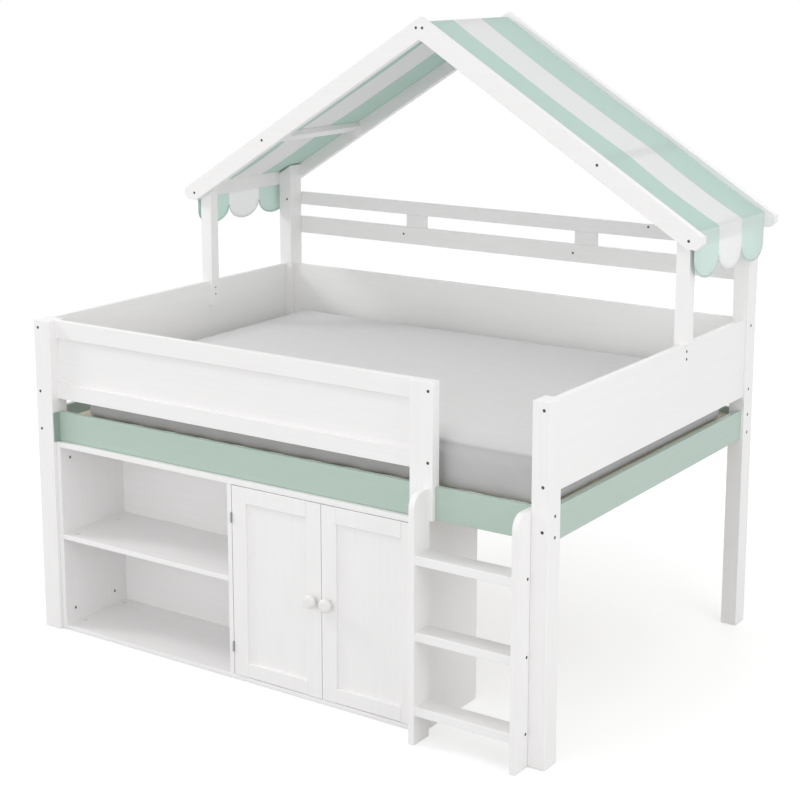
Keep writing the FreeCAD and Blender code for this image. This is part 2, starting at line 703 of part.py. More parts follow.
def bolt_frame():
    """Bolts through the posts into the panels and rails, and through the guard's stile."""
    x_line = (x_end_inner + x_end_outer) / 2
    y_line = (y_rail_front + y_rail_back) / 2
    high = frame_top - panel_bolt_inset
    low = panel_bottom + panel_bolt_inset
    rail_heights = (rail_bottom + rail_bolt_inset, rail_top - rail_bolt_inset)
    end_rail = rail_bottom + end_rail_bolt_height
    depth = post_depth + bolt_grip
    for side, word in ((-1, "left"), (1, "right")):
        panel = word + "_end_panel"
        rail = word + "_end_rail"
        front = "front_" + word + "_post"
        rear = "rear_" + word + "_post"
        for height, held in ((high, panel), (low, panel), (end_rail, rail)):
            bolt("frame_bolts", Vector(side * x_line, y_front, height), (0, 1, 0), depth, (front, held))
        for height, held in ((high - bolt_stagger, panel), (low + bolt_stagger, panel), (end_rail, rail)):
            bolt("frame_bolts", Vector(side * x_line, y_rear, height), (0, -1, 0), depth, (rear, held))
        width = wide_post_width if side < 0 else post_width
        inward = (-side, 0, 0)
        for height in rail_heights:
            held = (front, "front_side_rail") if side > 0 else (front, "front_rail_plate", "front_side_rail")
            bolt("frame_bolts", Vector(side * x_right, y_line, height), inward, width + bolt_grip, held)
            head = Vector(side * x_right, -y_line, height)
            bolt("frame_bolts", head, inward, post_width + bolt_grip, (rear, "rear_side_rail"))
        for height in (high, low):
            head = Vector(side * x_right, -y_line, height)
            bolt("frame_bolts", head, inward, post_width + bolt_grip, (rear, "rear_panel"))
    for height, held in ((high - bolt_stagger, "guard_top_rail"), (low + bolt_stagger, "guard_bottom_rail")):
        head = Vector(x_left, y_line, height)
        bolt("frame_bolts", head, (1, 0, 0), wide_post_width + bolt_grip, ("front_left_post", held))
    y_stile = y_rail_front - guard_stile_thickness
    length = guard_stile_thickness + board_thickness
    for height in (frame_top - stile_bolt_drop, panel_bottom + stile_bolt_drop):
        head = Vector(x_guard_right - stile_bolt_inset, y_stile, height)
        bolt("frame_bolts", head, (0, 1, 0), length, ("guard_stile", "guard_batten"))
    head = Vector(x_guard_end + stile_bolt_inset, y_stile, (rail_bottom + rail_top) / 2)
    bolt("frame_bolts", head, (0, 1, 0), length, ("guard_stile", "front_side_rail"))


def bolt_roof():
    """Screws through the rafters into the beams and posts, and through the panels into the legs."""
    eave_line = (x_right + x_eave) / 2
    purlin_z = roof_line(purlin_place, support_depth + purlin_thickness / 2)
    eave_z = roof_line(x_eave, support_depth) - eave_beam_height / 2
    places = ((apex_bolt_reach, roof_apex - apex_bolt_drop, "ridge_beam"),
              (purlin_place, purlin_z, "roof_purlins"), (eave_line, eave_z, "eave_beams"))
    length = rafter_thickness + screw_grip
    y_tail = y_rear + rafter_thickness
    leg_z = frame_top - panel_bolt_inset
    for side, word in ((-1, "left"), (1, "right")):
        front = "front_" + word + "_rafter"
        rear = "rear_" + word + "_rafter"
        for x, z, held in places:
            bolt("roof_bolts", Vector(side * x, y_gable, z), (0, 1, 0), length, (front, held))
            bolt("roof_bolts", Vector(side * x, y_tail, z), (0, -1, 0), length, (rear, held))
        x = side * (x_right - leg_width / 2)
        head = Vector(x, y_roof + leg_depth, eave_z)
        bolt("roof_bolts", head, (0, -1, 0), leg_depth + screw_grip, (word + "_roof_leg", front))
        head = Vector(side * (x_right - post_width / 2), y_tail, eave_z)
        bolt("roof_bolts", head, (0, -1, 0), length, (rear, "rear_" + word + "_post"))
        tongue = x_end_inner - (x_right - leg_width)
        for height in (leg_z, leg_z - panel_bolt_inset):
            head = Vector(side * x_end_outer, y_roof + leg_depth / 2, height)
            bolt("roof_bolts", head, (-side, 0, 0), board_thickness + tongue,
                 (word + "_end_panel", word + "_roof_leg"))


def export_all():
    """Moves the bed so that its middle stands on the origin, and writes one file for each piece."""
    for name, solids in groups.items():
        pieces[name] = Part.makeCompound(solids)
    y_back = y_rear + rafter_thickness
    shift = Vector(0, -(y_ladder + y_back) / 2, 0)
    os.makedirs("parts", exist_ok=True)
    for name, shape in pieces.items():
        shape.translate(shift)
        shape.exportStep("parts/" + name + ".step")


build_posts()
build_sides()
build_slats()
build_mattress()
build_guard()
build_ladder()
build_rear_guard()
build_rafters()
build_roof_frame()
build_canopy()
build_cabinet()
bolt_frame()
bolt_roof()
export_all()
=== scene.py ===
import json
import math

import bmesh
import bpy
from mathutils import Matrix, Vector, noise


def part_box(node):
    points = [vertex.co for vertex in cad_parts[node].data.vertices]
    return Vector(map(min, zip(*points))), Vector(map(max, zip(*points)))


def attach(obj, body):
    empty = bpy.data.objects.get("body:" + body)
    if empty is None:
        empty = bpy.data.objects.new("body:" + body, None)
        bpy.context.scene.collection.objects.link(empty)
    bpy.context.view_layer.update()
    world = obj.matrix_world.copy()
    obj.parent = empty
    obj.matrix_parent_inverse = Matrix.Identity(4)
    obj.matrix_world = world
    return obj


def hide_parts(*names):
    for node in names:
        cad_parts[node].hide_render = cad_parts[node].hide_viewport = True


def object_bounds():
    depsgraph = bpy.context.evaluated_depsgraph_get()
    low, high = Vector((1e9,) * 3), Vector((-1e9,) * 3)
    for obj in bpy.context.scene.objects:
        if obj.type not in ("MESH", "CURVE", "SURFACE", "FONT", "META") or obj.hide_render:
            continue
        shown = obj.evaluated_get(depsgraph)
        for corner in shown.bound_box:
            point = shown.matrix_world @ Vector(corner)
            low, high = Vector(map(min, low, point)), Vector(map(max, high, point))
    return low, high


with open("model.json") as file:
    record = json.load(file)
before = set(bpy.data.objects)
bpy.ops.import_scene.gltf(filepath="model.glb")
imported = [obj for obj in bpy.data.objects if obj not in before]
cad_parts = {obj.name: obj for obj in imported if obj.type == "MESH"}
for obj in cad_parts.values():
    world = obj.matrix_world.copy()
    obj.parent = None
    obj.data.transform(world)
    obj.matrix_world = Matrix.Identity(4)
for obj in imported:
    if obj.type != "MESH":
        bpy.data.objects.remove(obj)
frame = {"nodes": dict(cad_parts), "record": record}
nodes = frame["nodes"]
cad_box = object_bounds()


# White boards
# Posts, panels, guards, ladder, roof timbers and cabinet are planed pine and board, sprayed with a
# satin white lacquer. A little of the grain shows through it, and it runs along each board.

def add_node(tree, kind, inputs=(), **settings):
    """A node with its settings made and its inputs linked or set."""
    made = tree.nodes.new(kind)
    for key, value in settings.items():
        setattr(made, key, value)
    for key, value in dict(inputs).items():
        if isinstance(value, bpy.types.NodeSocket):
            tree.links.new(value, made.inputs[key])
        else:
            made.inputs[key].default_value = value
    return made


def reckon(tree, operation, first, second=0.5, third=0.5):
    """The value that a Math node works out."""
    return add_node(tree, "ShaderNodeMath", {0: first, 1: second, 2: third}, operation=operation).outputs[0]


def mixed(tree, share, first, second, blend="MIX"):
    """The colour of a Mix node."""
    node = add_node(tree, "ShaderNodeMix", {0: share, 6: first, 7: second}, data_type="RGBA",
                    blend_type=blend)
    return node.outputs[2]


def mottle(tree, place, scale, detail, **more):
    """A Noise node read at a place, with its scale, its detail and any other input."""
    return add_node(tree, "ShaderNodeTexNoise", {"Vector": place, "Scale": scale, "Detail": detail, **more})


def tone(red, green, blue):
    """A colour as a paint chart gives it, in the renderer's own values."""
    values = []
    for part in (red, green, blue):
        share = part / 255
        values.append(share / 12.92 if share <= 0.04045 else ((share + 0.055) / 1.055) ** 2.4)
    return (*values, 1.0)


def new_group(name, inputs, outputs):
    """An empty shader group with its named sockets, and its two ends."""
    group = bpy.data.node_groups.new(name, "ShaderNodeTree")
    for label, kind in inputs:
        group.interface.new_socket(label, in_out="INPUT", socket_type="NodeSocket" + kind)
    for label, kind in outputs:
        group.interface.new_socket(label, in_out="OUTPUT", socket_type="NodeSocket" + kind)
    return group, add_node(group, "NodeGroupInput"), add_node(group, "NodeGroupOutput")


def make_paint_film():
    """Lacquer over wood: faint streaks along the grain, a slow change of tone and fine orange peel."""
    streak_gain, streak_start = 2.6, -0.9
    pore_depth, pore_softness = 0.7, 0.2
    cloud_depth, gloss_spread, peel_share = 0.035, 0.14, 0.35
    pore_colour = (0.62, 0.60, 0.56, 1.0)
    inputs = (("Along the grain", "Vector"), ("Place", "Vector"), ("Colour", "Color"), ("Grain", "Float"),
              ("Roughness", "Float"))
    outputs = (("Colour", "Color"), ("Roughness", "Float"), ("Height", "Float"))
    film, enter, leave = new_group("paint_film", inputs, outputs)
    along = enter.outputs["Along the grain"]
    place = enter.outputs["Place"]
    grain = enter.outputs["Grain"]
    streak = mottle(film, along, scale=1.0, detail=6.0, Roughness=0.62).outputs["Fac"]
    cloud = mottle(film, place, scale=2.1, detail=2.0).outputs["Fac"]
    peel = mottle(film, place, scale=310.0, detail=1.0).outputs["Fac"]
    sharp_streak = reckon(film, "MULTIPLY_ADD", streak, streak_gain, streak_start)
    pores = reckon(film, "SMOOTH_MIN", sharp_streak, 1.0, pore_softness)
    depth = reckon(film, "MULTIPLY", grain, reckon(film, "MULTIPLY_ADD", pores, -pore_depth, pore_depth))
    depth = reckon(film, "MULTIPLY_ADD", cloud, cloud_depth, depth)
    shade = mixed(film, depth, enter.outputs["Colour"], pore_colour, "MULTIPLY")
    least_gloss = reckon(film, "ADD", enter.outputs["Roughness"], -gloss_spread / 2)
    gloss = reckon(film, "MULTIPLY_ADD", cloud, gloss_spread, least_gloss)
    relief = reckon(film, "MULTIPLY_ADD", peel, peel_share, reckon(film, "MULTIPLY", pores, grain))
    for label, value in (("Colour", shade), ("Roughness", gloss), ("Height", relief)):
        film.links.new(value, leave.inputs[label])
    return film


def new_material(name):
    """A material with only its Principled shader and its object coordinates."""
    material = bpy.data.materials.new(name)
    material.use_nodes = True
    shader = material.node_tree.nodes["Principled BSDF"]
    place = add_node(material.node_tree, "ShaderNodeTexCoord").outputs["Object"]
    return material, material.node_tree, shader, place


def raise_bump(tree, shader, height, strength, distance):
    """Feeds a height to the shader's normal."""
    bump = add_node(tree, "ShaderNodeBump", {"Height": height, "Strength": strength, "Distance": distance})
    tree.links.new(bump.outputs["Normal"], shader.inputs["Normal"])


paint_film = make_paint_film()
grain_along, grain_across = 5.0, 95.0
stretch_of_grain = [[grain_along if axis == run else grain_across for axis in range(3)] for run in range(3)]


def lacquer(name, colour, axis, grain, roughness):
    """Sprayed wood whose grain runs along one axis."""
    material, tree, shader, place = new_material(name)
    along = add_node(tree, "ShaderNodeMapping", {"Vector": place, "Scale": stretch_of_grain[axis]})
    values = {"Along the grain": along.outputs["Vector"], "Place": place, "Colour": colour, "Grain": grain,
              "Roughness": roughness}
    film = add_node(tree, "ShaderNodeGroup", values, node_tree=paint_film)
    tree.links.new(film.outputs["Colour"], shader.inputs["Base Color"])
    tree.links.new(film.outputs["Roughness"], shader.inputs["Roughness"])
    shader.inputs["Coat Weight"].default_value = 0.12
    shader.inputs["Coat Roughness"].default_value = 0.35
    raise_bump(tree, shader, film.outputs["Height"], strength=0.12, distance=0.0006)
    return material


def dress(names, material):
    """Gives CAD pieces their finish."""
    for name in names:
        nodes[name].data.materials.clear()
        nodes[name].data.materials.append(material)


def named_with(slot):
    """The CAD pieces that the record gives this slot."""
    return [part["node"] for part in frame["record"]["subparts"] if part["material_slot"] == slot]


def long_axis(name):
    """The axis along which a piece is longest."""
    low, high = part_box(name)
    sizes = [high[axis] - low[axis] for axis in range(3)]
    return sizes.index(max(sizes))


white = tone(247, 246, 246)
white_boards = [lacquer("white_lacquer_" + word, white, axis, grain=0.10, roughness=0.42)
                for axis, word in enumerate("xyz")]
for name in named_with("white_paint"):
    dress([name], white_boards[long_axis(name)])


# Green rails
# The four bed rails and the small steel plate at the front rail's left end take a sage green
# satin lacquer. The plate is smooth metal, so no grain shows on it; its sage is painted darker, as painted
# shade.

sage = tone(182, 201, 191)
# The plate's sage is the rails' sage painted darker: painted shade on the plate.
plate_sage_painted_shade = tone(150, 167, 157)
for name in named_with("green_paint"):
    dress([name], lacquer("sage_lacquer_" + name, sage, long_axis(name), grain=0.16, roughness=0.44))
dress(named_with("green_metal"), lacquer("sage_plate_painted_shade", plate_sage_painted_shade, 2, grain=0.0, roughness=0.36))


# Slats, ledgers and centre beam
# Planed pine left bare, hidden by the mattress from above and seen from below. Growth rings run along
# each board, with darker late wood between them. The slats lie across the bed, the rest along it.

def pine(name, axis):
    """Bare pine with its growth rings drawn out along one axis."""
    late_wood, early_wood = (0.36, tone(224, 211, 188)), (0.66, tone(239, 229, 210))
    ring_bend = (5.0, 5.0, 5.0)
    dullest, ring_gloss = 0.72, 0.2
    material, tree, shader, place = new_material(name)
    bend = mottle(tree, place, scale=1.3, detail=2.0)
    along = add_node(tree, "ShaderNodeMapping", {"Vector": place, "Scale": stretch_of_grain[axis]})
    swirl = add_node(tree, "ShaderNodeVectorMath", {0: bend.outputs["Color"], 1: ring_bend},
                     operation="MULTIPLY")
    path = add_node(tree, "ShaderNodeVectorMath", {0: along.outputs["Vector"], 1: swirl.outputs[0]})
    rings = mottle(tree, path.outputs[0], scale=0.55, detail=4.0, Distortion=0.6).outputs["Fac"]
    ramp = add_node(tree, "ShaderNodeValToRGB", {"Fac": rings})
    for stop, (position, colour) in zip(ramp.color_ramp.elements, (late_wood, early_wood)):
        stop.position = position
        stop.color = colour
    tree.links.new(ramp.outputs["Color"], shader.inputs["Base Color"])
    tree.links.new(reckon(tree, "MULTIPLY_ADD", rings, -ring_gloss, dullest), shader.inputs["Roughness"])
    raise_bump(tree, shader, rings, strength=0.25, distance=0.0008)
    return material


for name in named_with("bare_wood"):
    dress([name], pine("pine_" + name, 1 if name == "bed_slats" else 0))


# Bolts, shelf pins and hinges
# Hex-socket bolts in dark plated steel hold the frame together, and the doors hang on zinc-plated
# butt hinges. Both are turned or pressed steel with fine marks from the tool.

def steel(name, colour, roughness, marks):
    """Plated steel with fine marks and faint stains."""
    stain_share, scratch_gloss = 0.7, 0.25
    material, tree, shader, place = new_material(name)
    scratch = mottle(tree, place, scale=900.0, detail=3.0).outputs["Fac"]
    stain = mottle(tree, place, scale=120.0, detail=2.0).outputs["Fac"]
    dark = tuple(part * stain_share for part in colour[:3]) + (1.0,)
    tree.links.new(mixed(tree, stain, colour, dark), shader.inputs["Base Color"])
    gloss = reckon(tree, "MULTIPLY_ADD", scratch, scratch_gloss, roughness)
    tree.links.new(gloss, shader.inputs["Roughness"])
    shader.inputs["Metallic"].default_value = 1.0
    raise_bump(tree, shader, scratch, strength=marks, distance=0.0002)
    return material


dark_steel = steel("dark_plated_steel", tone(112, 112, 114), roughness=0.34, marks=0.2)
zinc_steel = steel("zinc_plated_steel", tone(176, 176, 178), roughness=0.3, marks=0.15)
dress(named_with("bolt_steel"), dark_steel)
dress(named_with("hinge_steel"), zinc_steel)


# Small screws and caps
# Round screw heads show on the rear guard rails, a rear post and the bay's left wall, and pale plastic
# caps cover the cam locks in the bay's shelf and base. They stand about a millimetre proud.

def placed(name, data):
    """An object at the origin, in the scene."""
    made = bpy.data.objects.new(name, data)
    bpy.context.scene.collection.objects.link(made)
    return made


def new_piece(name, mesh, material, body):
    """An object at the origin that rides on a body and takes a slot's finish."""
    piece = placed(name, mesh)
    mesh.materials.clear()
    mesh.materials.append(material)
    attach(piece, body)
    return piece


def settled_mesh(helper):
    """What an object's modifiers make of it, as a mesh of its own. The object itself is removed."""
    graph = bpy.context.evaluated_depsgraph_get()
    mesh = bpy.data.meshes.new_from_object(helper.evaluated_get(graph))
    bpy.data.objects.remove(helper)
    return mesh


def new_shaping(name, inputs):
    """An empty geometry group with its named inputs, and its two ends."""
    group = bpy.data.node_groups.new(name, "GeometryNodeTree")
    group.interface.new_socket("Geometry", in_out="INPUT", socket_type="NodeSocketGeometry")
    for label, kind in inputs:
        group.interface.new_socket(label, in_out="INPUT", socket_type="NodeSocket" + kind)
    group.interface.new_socket("Geometry", in_out="OUTPUT", socket_type="NodeSocketGeometry")
    return group, add_node(group, "NodeGroupInput"), add_node(group, "NodeGroupOutput")


def close_shaping(group, enter, leave, copies):
    """Ends a geometry group with real meshes in the given material."""
    solid = add_node(group, "GeometryNodeRealizeInstances", {0: copies})
    dressed = add_node(group, "GeometryNodeSetMaterial", {"Geometry": solid.outputs[0],
                                                          "Material": enter.outputs["Material"]})
    group.links.new(dressed.outputs[0], leave.inputs[0])
    return group


def make_heads():
    """Low round heads on loose points, all turned one way."""
    head_sides, crown_share = 24, 0.72
    inputs = (("Radius", "Float"), ("Rise", "Float"), ("Turn", "Vector"), ("Material", "Material"))
    group, enter, leave = new_shaping("heads", inputs)
    radius = enter.outputs["Radius"]
    crown = reckon(group, "MULTIPLY", radius, crown_share)
    head = add_node(group, "GeometryNodeMeshCone", {"Vertices": head_sides, "Radius Top": crown,
                                                    "Radius Bottom": radius, "Depth": enter.outputs["Rise"]})
    set_on = add_node(group, "GeometryNodeInstanceOnPoints", {"Points": enter.outputs["Geometry"],
                                                              "Instance": head.outputs["Mesh"],
                                                              "Rotation": enter.outputs["Turn"]})
    return close_shaping(group, enter, leave, set_on.outputs[0])


def shaped_mesh(name, points, edges, group, values):
    """The mesh that a geometry group makes of points and the edges between them."""
    seed = bpy.data.meshes.new(name)
    seed.from_pydata(points, edges, [])
    helper = placed(name, seed)
    shaping = helper.modifiers.new("shaping", "NODES")
    shaping.node_group = group
    for item in group.interface.items_tree:
        if item.in_out == "INPUT" and item.name in values:
            shaping[item.identifier] = values[item.name]
    return settled_mesh(helper)


cap_plastic, tree, shader, place = new_material("pale_cap_plastic")
shader.inputs["Base Color"].default_value = tone(226, 226, 226)
shader.inputs["Roughness"].default_value = 0.4
heads = make_heads()
head_rise = 0.0012
turned = {"front": (math.pi / 2, 0.0, 0.0), "right": (0.0, math.pi / 2, 0.0), "up": (0.0, 0.0, 0.0)}
guard_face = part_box("rear_low_guard_rail")[0].y
post_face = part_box("rear_left_post")[0].y
bay_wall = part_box("cabinet_left_side")[1].x
shelf_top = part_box("open_shelf")[1].z
base_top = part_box("cabinet_base")[1].z
guard_places = ((-0.466, guard_face, 1.292), (0.299, guard_face, 1.287), (0.607, guard_face, 1.412))
post_places = ((-0.996, post_face, 1.398),)
bay_places = ((bay_wall, -0.6535, 0.631), (bay_wall, -0.6535, 0.067), (bay_wall, -0.4505, 0.067))
cap_places = ((-0.900, -0.6685, shelf_top), (-0.900, -0.4635, shelf_top),
              (-0.922, -0.6265, base_top), (-0.922, -0.4215, base_top))
small_heads = (("guard_screws", "front", 0.0045, dark_steel, guard_places),
               ("post_screw", "front", 0.0045, dark_steel, post_places),
               ("bay_screws", "right", 0.005, dark_steel, bay_places),
               ("cam_caps", "up", 0.008, cap_plastic, cap_places))
for name, side, radius, finish, places in small_heads:
    values = {"Radius": radius, "Rise": head_rise, "Turn": turned[side], "Material": finish}
    new_piece(name, shaped_mesh(name, places, [], heads, values), finish, "bed_frame")


# Door knobs
# Two turned wooden knobs, one on each door beside the line where the doors meet. They are lacquered
# white like the doors, but glossier.

dress(named_with("knob"), lacquer("knob_lacquer", tone(238, 237, 236), 1, grain=0.05, roughness=0.26))


# Mattress
# A foam mattress in a grey woven cover. A softly rounded top panel is sewn to a border below its
# edge, with a narrow fold along the seam; the border's darker grey is painted shade on the sides. The foam
# fills the cover, so the panels swell between seams.

def make_weave():
    """A plain weave: threads that pass over and under each other, a little uneven."""
    weave, enter, leave = new_group("weave", (("Cloth", "Vector"), ("Threads", "Float")),
                                    (("Height", "Float"), ("Shade", "Float")))
    cloth = add_node(weave, "ShaderNodeSeparateXYZ", {0: enter.outputs["Cloth"]})
    turns = reckon(weave, "MULTIPLY", enter.outputs["Threads"], math.tau)
    across = reckon(weave, "MULTIPLY", cloth.outputs["X"], turns)
    along = reckon(weave, "MULTIPLY", cloth.outputs["Y"], turns)
    warp = reckon(weave, "COSINE", across)
    weft = reckon(weave, "COSINE", along)
    over = reckon(weave, "MULTIPLY", reckon(weave, "SINE", reckon(weave, "MULTIPLY", across, 0.5)),
                  reckon(weave, "SINE", reckon(weave, "MULTIPLY", along, 0.5)))
    on_top = reckon(weave, "GREATER_THAN", over, 0.0)
    warp_share = reckon(weave, "MULTIPLY", warp, on_top)
    weft_share = reckon(weave, "MULTIPLY", weft, reckon(weave, "SUBTRACT", 1.0, on_top))
    height = reckon(weave, "MULTIPLY_ADD", reckon(weave, "ADD", warp_share, weft_share), 0.5, 0.5)
    slub = mottle(weave, enter.outputs["Cloth"], scale=26.0, detail=4.0).outputs["Fac"]
    shade = reckon(weave, "MULTIPLY_ADD", slub, 0.5, reckon(weave, "MULTIPLY", height, 0.5))
    weave.links.new(height, leave.inputs["Height"])
    weave.links.new(shade, leave.inputs["Shade"])
    return weave


weave = make_weave()


def woven(tree, shader, cloth, colour, threads, depth, relief):
    """Lays a weave over a colour and gives the shader its cover, roughness and threads."""
    thread_shadow = (0.5, 0.5, 0.5, 1.0)
    thread_gloss, cloth_roughness = 0.12, 0.8
    threads_on = add_node(tree, "ShaderNodeGroup", {"Cloth": cloth, "Threads": threads}, node_tree=weave)
    share = reckon(tree, "MULTIPLY", threads_on.outputs["Shade"], depth)
    tree.links.new(mixed(tree, share, colour, thread_shadow, "MULTIPLY"), shader.inputs["Base Color"])
    gloss = reckon(tree, "MULTIPLY_ADD", threads_on.outputs["Shade"], thread_gloss, cloth_roughness)
    tree.links.new(gloss, shader.inputs["Roughness"])
    shader.inputs["Specular IOR Level"].default_value = 0.25
    raise_bump(tree, shader, threads_on.outputs["Height"], strength=relief, distance=0.0005)


mattress_low, mattress_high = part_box("mattress")
mattress_middle = (mattress_low + mattress_high) / 2
mattress_room = mattress_high - mattress_low
seam_rise, foot_rise, seam_blend = 0.150, 0.02, 0.004
seam_height = mattress_low.z + seam_rise
foot_height = mattress_low.z + foot_rise
# Below the seam the cover is painted a darker grey than on top: painted shade on the mattress's sides.
border_painted_shade_grey, top_grey = tone(205, 205, 206), tone(229, 228, 228)

mattress_cover, tree, shader, place = new_material("grey_mattress_cover")
parts = add_node(tree, "ShaderNodeSeparateXYZ", {0: place})
along_bed = reckon(tree, "ADD", parts.outputs["X"], parts.outputs["Z"])
across_bed = reckon(tree, "ADD", parts.outputs["Y"], parts.outputs["Z"])
laid = add_node(tree, "ShaderNodeCombineXYZ", {0: along_bed, 1: across_bed})
on_top = add_node(tree, "ShaderNodeMapRange", {0: parts.outputs["Z"], 1: seam_height - seam_blend,
                                               2: seam_height + seam_blend})
cover_colour_with_painted_shade = mixed(tree, on_top.outputs[0], border_painted_shade_grey, top_grey)
woven(tree, shader, laid.outputs[0], cover_colour_with_painted_shade, threads=420.0, depth=0.28, relief=0.35)
shader.inputs["Sheen Weight"].default_value = 0.15

# The cover starts from a merged and evenly remeshed copy of the foam's solid.
merge_distance = 0.00005
core = bmesh.new()
core.from_mesh(nodes["mattress"].data)
bmesh.ops.remove_doubles(core, verts=core.verts, dist=merge_distance)
core_mesh = bpy.data.meshes.new("mattress_core")
core.to_mesh(core_mesh)
core.free()
core_helper = placed("mattress_core", core_mesh)
remesh = core_helper.modifiers.new("remesh", "REMESH")
remesh.mode = "VOXEL"
remesh.voxel_size = 0.016
foam_mesh = settled_mesh(core_helper)

# Its top edge is rounded more than its foot.
foot_softness, soft_from, soft_rise = 0.25, 0.3, 0.3
foam_helper = placed("mattress_foam", foam_mesh)
soft_edge = foam_helper.vertex_groups.new(name="soft_edge")
for vertex in foam_mesh.vertices:
    share = (vertex.co.z - mattress_low.z) / mattress_room.z
    softness = min(1.0, max(0.0, share - soft_from) / soft_rise)
    soft_edge.add([vertex.index], foot_softness + (1 - foot_softness) * softness, "REPLACE")
soften = foam_helper.modifiers.new("soften", "SMOOTH")
soften.iterations = 9
soften.vertex_group = "soft_edge"
cover_mesh = settled_mesh(foam_helper)


def from_side(place):
    """How far a place lies inside the nearest of the mattress's four sides."""
    return min(mattress_high.x - place.x, place.x - mattress_low.x,
               mattress_high.y - place.y, place.y - mattress_low.y)


# Pressure swells the cover between its seams and its foot, which are held.
seam_reach, rim_reach, foot_reach = 0.010, 0.06, 0.012
swell_limit = 0.014
swell_steps = 20
cover_helper = placed("mattress_swelling", cover_mesh)
held = cover_helper.vertex_groups.new(name="seams")
for vertex in cover_mesh.vertices:
    to_seam = min(abs(vertex.co.z - seam_height), abs(vertex.co.z - foot_height))
    on_seam = to_seam < seam_reach and from_side(vertex.co) < rim_reach
    if on_seam or vertex.co.z < mattress_low.z + foot_reach:
        held.add([vertex.index], 1.0, "REPLACE")
swelling = cover_helper.modifiers.new("swelling", "CLOTH")
swelling.settings.quality = 5
swelling.settings.mass = 0.4
swelling.settings.tension_stiffness = 12.0
swelling.settings.compression_stiffness = 12.0
swelling.settings.bending_stiffness = 2.0
swelling.settings.vertex_group_mass = "seams"
swelling.settings.use_pressure = True
swelling.settings.uniform_pressure_force = 3.0
swelling.settings.effector_weights.gravity = 0.0
swelling.point_cache.frame_start = 1
swelling.point_cache.frame_end = swell_steps
for step in range(1, swell_steps + 1):
    bpy.context.scene.frame_set(step)
swollen = settled_mesh(cover_helper)
for vertex, start in zip(swollen.vertices, cover_mesh.vertices):
    rise = vertex.co - start.co
    if rise.length > swell_limit:
        rise = rise * (swell_limit / rise.length)
    vertex.co = start.co + rise
bpy.context.scene.frame_set(1)
cover_mesh = swollen


def outward_at(place):
    """The level direction out of the side that a place belongs to."""
    outward = Vector((place.x - mattress_middle.x, place.y - mattress_middle.y, 0.0))
    along_x = abs(outward.x) * mattress_room.y
    along_y = abs(outward.y) * mattress_room.x
    if along_x > along_y:
        outward.y = 0.0
    if along_y > along_x:
        outward.x = 0.0
    return outward.normalized()


def wander(place, turns, turns_up, start=0.0):
    """Smooth chance values with so many turns to the metre, level and upwards."""
    return noise.noise(Vector((place.x * turns, place.y * turns, place.z * turns_up + start)))


# Slow waves lie on top, loose folds on the border, and the seam draws the cover in.
wave_height, ripple_height, fold_depth = 0.003, 0.0012, 0.005
top_share, border_middle, border_half = 0.15, 0.36, 0.34
seam_draw, seam_drop, seam_width = 0.014, 0.006, 0.013
side_reach = 0.05
wall_gap = 0.0005
for vertex in cover_mesh.vertices:
    wave = wander(vertex.co, turns=3.1, turns_up=0.0, start=0.3)
    ripple = wander(vertex.co, turns=13.0, turns_up=5.0)
    fold = wander(vertex.co, turns=9.0, turns_up=2.0)
    height = (vertex.co.z - mattress_low.z) / mattress_room.z
    on_top = max(0.0, height - (1 - top_share)) / top_share
    vertex.co.z += (wave_height * wave + ripple_height * ripple) * on_top
    on_side = max(0.0, 1 - from_side(vertex.co) / side_reach)
    on_border = max(0.0, 1 - abs(height - border_middle) / border_half)
    drawn = seam_draw * math.exp(-((vertex.co.z - seam_height + seam_drop) / seam_width) ** 2)
    vertex.co += outward_at(vertex.co) * on_side * (fold_depth * fold * on_border - drawn)
    for axis in range(3):
        lowest, highest = mattress_low[axis] + wall_gap, mattress_high[axis] - wall_gap
        vertex.co[axis] = min(max(vertex.co[axis], lowest), highest)
cover_mesh.shade_smooth()
mattress = new_piece("mattress_cover", cover_mesh, mattress_cover, "bed_frame")
round_off = mattress.modifiers.new("round_off", "SUBSURF")
round_off.levels = round_off.render_levels = 1
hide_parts("mattress")


# Roof canopy
# One striped cotton sheet lies over the ridge, purlins and eave beams between the gables. It sags a
# little between them, folds over the eaves and ends there in three bound scallops on each side. The
# hanging scallops are painted paler and the slope darker: painted light and painted shade on one cloth.

# The roof's height, reach, ridge and eaves are read from the frame, to a tenth of a millimetre.
canopy_low, canopy_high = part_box("roof_canopy")
roof_apex = round(cad_box[1].z, 4)
roof_reach = round(cad_box[1].x, 4)
roof_rise = 0.676
roof_slope = roof_rise / roof_reach
slope_cos = 1 / math.hypot(1, roof_slope)
slope_sin = roof_slope * slope_cos
cloth_depth = 0.0150
cloth_thickness = 0.0018
cloth_sag, hem_sag_share = 0.005, 0.75
ridge_half = round(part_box("ridge_beam")[1].x, 4)
purlin_place, purlin_half = 0.705, 0.0225
eave_outer = round(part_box("eave_beams")[1].x, 4)
eave_width, eave_gap = 0.014, 0.0013
eave_inner = eave_outer - eave_width
fold_x = eave_outer + eave_gap
fold_radius, fold_share = 0.004, 0.9
slope_length = fold_x / slope_cos
scallop_count = 3
scallop_drop = 0.060
scallop_bulge, bulge_turn = 0.0054, 0.75
cut_width = canopy_high.y - canopy_low.y
stripe_width = cut_width / scallop_count


def cloth_line(x):
    """Height of the tight cloth over one place along the slope."""
    return roof_apex - roof_slope * x - cloth_depth / slope_cos


def slack_at(x):
    """How far the cloth hangs between the beams, as a share of its full sag."""
    for start, end in ((ridge_half, purlin_place - purlin_half), (purlin_place + purlin_half, eave_inner)):
        if start < x < end:
            share = (x - start) / (end - start)
            return 4 * share * (1 - share)
    return 0.0


